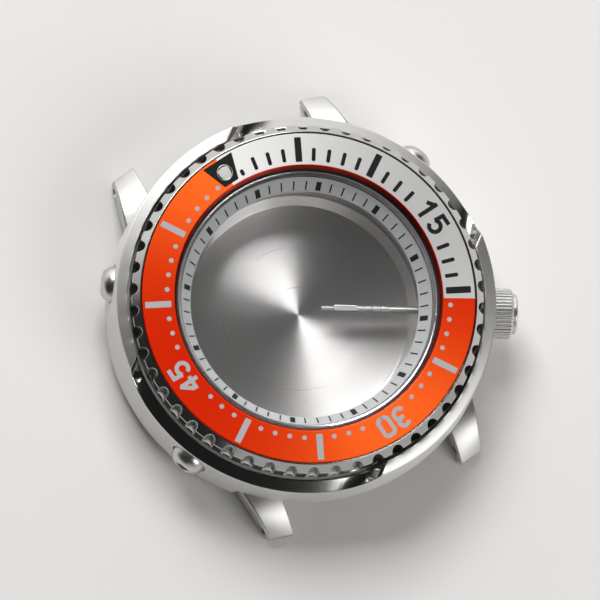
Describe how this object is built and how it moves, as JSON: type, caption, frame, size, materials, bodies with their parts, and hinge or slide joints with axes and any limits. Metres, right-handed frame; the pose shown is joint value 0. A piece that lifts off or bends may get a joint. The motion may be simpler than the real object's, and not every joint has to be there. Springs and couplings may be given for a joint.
{
  "type": "watch case",
  "caption": "Empty dive-watch case with protector ring, turning fluted bezel with two-colour insert, flat crystal, screwed back, crown with winding stem, and drilled lugs.",
  "frame": {"origin": "watch axis at the flat middle of the caseback, the face that the case rests on", "axes": "+Z out through the crystal, +Y to 12 o'clock, +X to 3 o'clock"},
  "size_m": [0.0474, 0.0482, 0.0135],
  "materials": {
    "mid_case": "satin",
    "shroud": "satin",
    "shroud_screws": "polished",
    "crystal": "polished",
    "crystal_gasket": "matt",
    "chapter_ring": "matt",
    "click_spring": "satin",
    "click_spring_pins": "satin",
    "crown_tube": "satin",
    "crown_tube_gasket": "matt",
    "bezel": "satin",
    "bezel_insert": "satin",
    "insert_adhesive": "matt",
    "pip_cup": "polished",
    "lume_pip": "satin",
    "bezel_gasket": "matt",
    "caseback": "turned",
    "caseback_gasket": "matt",
    "crown_gasket": "matt",
    "crown_cap": "satin",
    "crown_pipe": "satin",
    "crown_washer": "satin",
    "stem_sleeve": "satin",
    "crown_spring": "satin",
    "winding_stem": "polished"
  },
  "bodies": {
    "case": {"mid_case": "mid_case", "shroud": "shroud", "shroud_screws": "shroud_screws", "crystal": "crystal", "crystal_gasket": "crystal_gasket", "chapter_ring": "chapter_ring", "click_spring": "click_spring", "click_spring_pins": "click_spring_pins", "crown_tube": "crown_tube", "crown_tube_gasket": "crown_tube_gasket"},
    "bezel": {"bezel": "bezel", "bezel_insert": "bezel_insert", "insert_adhesive": "insert_adhesive", "pip_cup": "pip_cup", "lume_pip": "lume_pip", "bezel_gasket": "bezel_gasket"},
    "caseback": {"caseback": "caseback", "caseback_gasket": "caseback_gasket"},
    "crown_seal": {"crown_gasket": "crown_gasket"},
    "crown": {"crown_cap": "crown_cap", "crown_pipe": "crown_pipe", "crown_washer": "crown_washer", "stem_sleeve": "stem_sleeve", "crown_spring": "crown_spring", "winding_stem": "winding_stem"}
  },
  "joints": [
    {"name": "bezel_turn", "type": "hinge", "parent": "case", "child": "bezel", "pos_m": [0, 0, 0.0115], "axis": [0, 0, 1], "continuous": true},
    {"name": "caseback_off", "type": "slide", "parent": "case", "child": "caseback", "axis": [0, 0, -1], "range_m": [0, 0.012]},
    {"name": "crown_pull", "type": "slide", "parent": "case", "child": "crown_seal", "axis": [0.9135, -0.4067, 0], "range_m": [0, 0.022]},
    {"name": "crown_turn", "type": "hinge", "parent": "crown_seal", "child": "crown", "pos_m": [0, 0, 0.0065], "axis": [0.9135, -0.4067, 0], "continuous": true}
  ]
}
